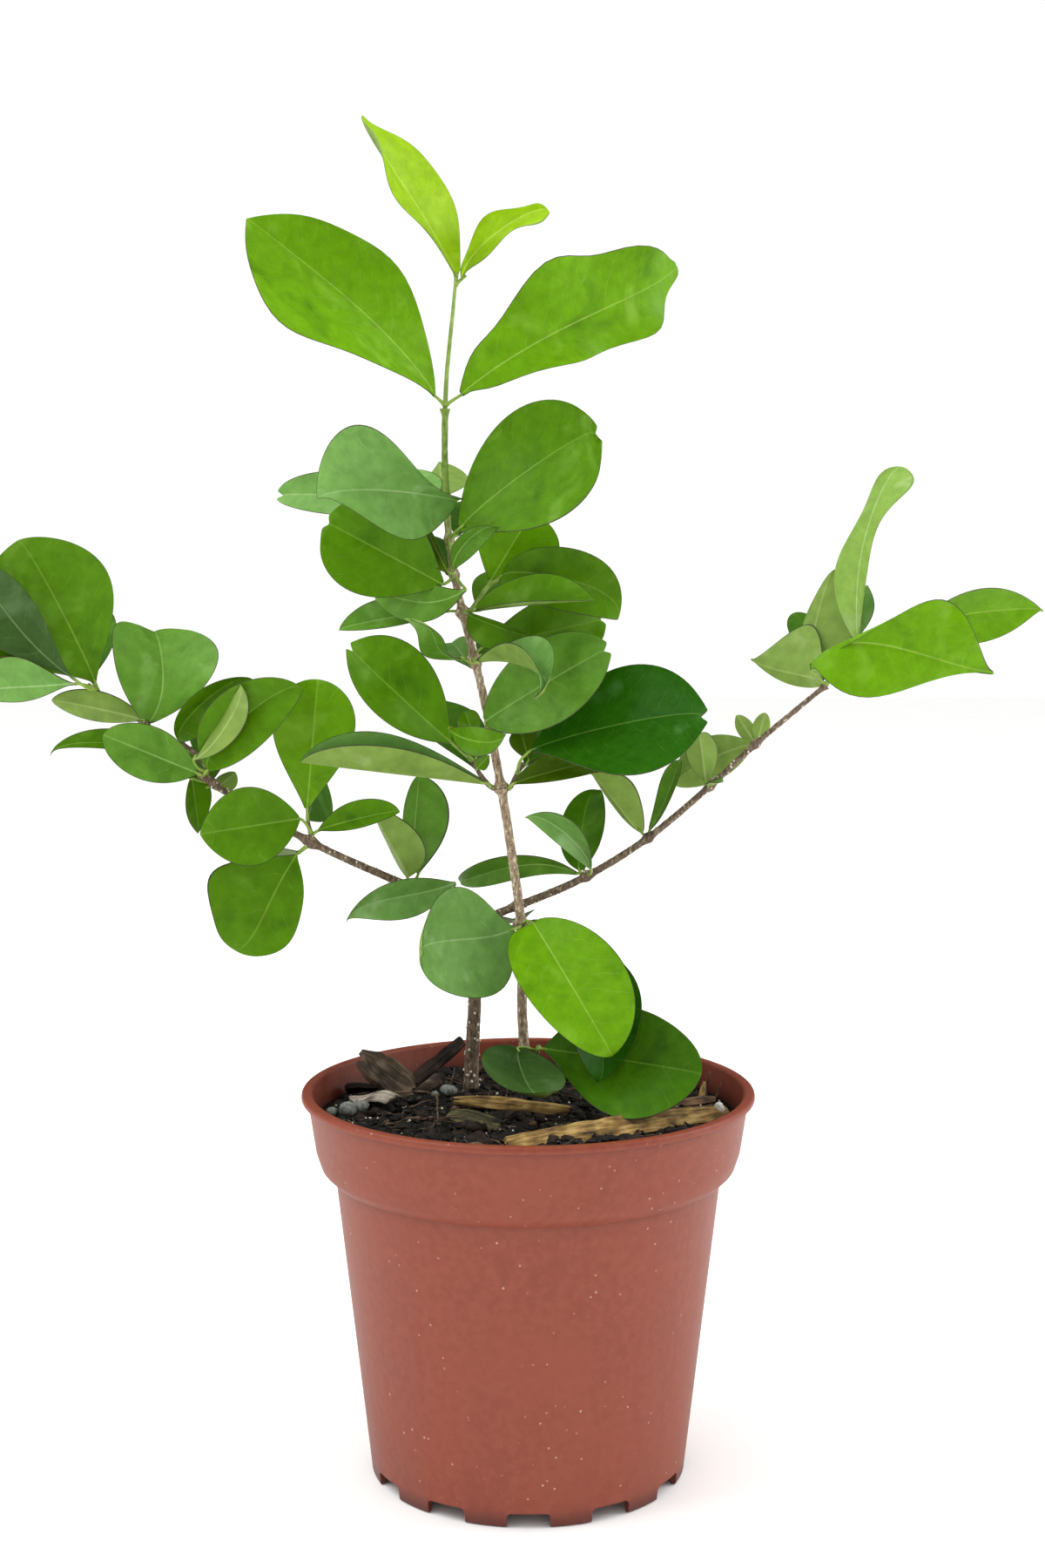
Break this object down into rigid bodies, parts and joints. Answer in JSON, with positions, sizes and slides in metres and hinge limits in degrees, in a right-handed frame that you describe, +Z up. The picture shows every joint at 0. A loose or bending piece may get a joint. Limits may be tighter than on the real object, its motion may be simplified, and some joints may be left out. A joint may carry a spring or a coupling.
{
  "type": "potted barbados cherry tree",
  "caption": "Young barbados cherry tree with upright stems, spreading boughs and glossy oval leaves in a round tapering nursery pot.",
  "frame": {"origin": "centre of the flat underside of the pot, on the pot's axis", "axes": "+Z up along the pot's axis, +X to the right and -Y to the front as the plant is usually seen"},
  "size_m": [0.2837, 0.12, 0.3541],
  "materials": {
    "pot_plastic": "satin",
    "potting_mix": "rough",
    "bark": "rough",
    "leaves": "satin"
  },
  "bodies": {
    "root": {"pot": "pot_plastic", "potting_mix": "potting_mix", "main_stem": "bark", "second_stem": "bark", "right_bough": "bark", "left_bough": "bark", "foliage_basal": "leaves", "foliage_basal_rear": "leaves", "foliage_crown_left": "leaves", "foliage_crown_low_left": "leaves", "foliage_crown_right": "leaves", "foliage_ground": "leaves", "foliage_left_end": "leaves", "foliage_left_first": "leaves", "foliage_left_fork": "leaves", "foliage_left_hanging": "leaves", "foliage_left_inner": "leaves", "foliage_left_low": "leaves", "foliage_left_under": "leaves", "foliage_low_left": "leaves", "foliage_low_right": "leaves", "foliage_middle_right": "leaves", "foliage_right_end": "leaves", "foliage_right_first": "leaves", "foliage_right_fourth": "leaves", "foliage_right_second": "leaves", "foliage_right_third": "leaves", "foliage_stem_left": "leaves", "foliage_stem_right": "leaves", "foliage_top": "leaves", "foliage_upper_left": "leaves", "foliage_upper_right": "leaves"}
  },
  "joints": []
}
